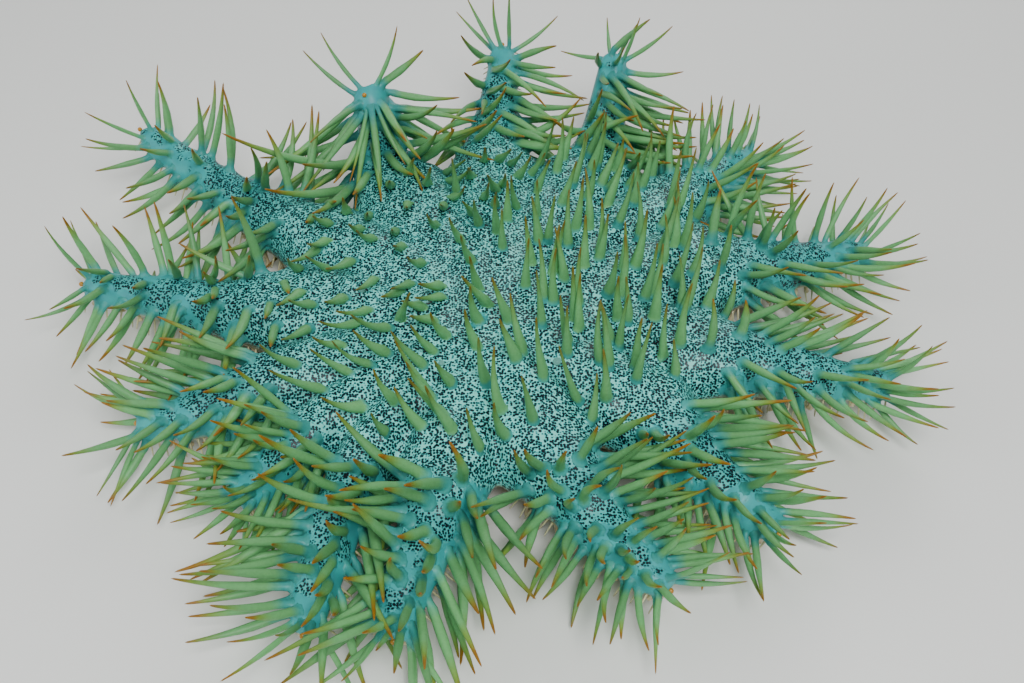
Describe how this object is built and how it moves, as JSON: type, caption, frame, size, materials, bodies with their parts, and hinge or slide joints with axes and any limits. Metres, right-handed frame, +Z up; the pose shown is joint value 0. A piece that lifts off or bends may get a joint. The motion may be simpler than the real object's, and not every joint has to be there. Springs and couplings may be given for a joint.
{
  "type": "crown-of-thorns starfish",
  "caption": "Crown-of-thorns starfish at life size, its spiny arms spread and some curled up, as a still display model that rests on its tube feet.",
  "frame": {"origin": "centre of the animal's outline on the floor it rests on", "axes": "+Z up, +X along the animal's longest spread to the right as the picture sees it, +Y away from the picture's camera"},
  "size_m": [0.3583, 0.3304, 0.0824],
  "materials": {
    "disc_skin": "moist pale blue skin with dark specks",
    "arm_skin": "moist blue-green skin with grey-green, orange-tipped spines"
  },
  "bodies": {
    "root": {"disc": "disc_skin", "arm_01": "arm_skin", "arm_02": "arm_skin", "arm_03_base": "arm_skin", "arm_03_end": "arm_skin", "arm_04": "arm_skin", "arm_05_base": "arm_skin", "arm_05_end": "arm_skin", "arm_06": "arm_skin", "arm_07": "arm_skin", "arm_08": "arm_skin", "arm_09": "arm_skin", "arm_10": "arm_skin", "arm_11": "arm_skin", "arm_12": "arm_skin", "arm_13": "arm_skin", "arm_14": "arm_skin"}
  },
  "joints": []
}
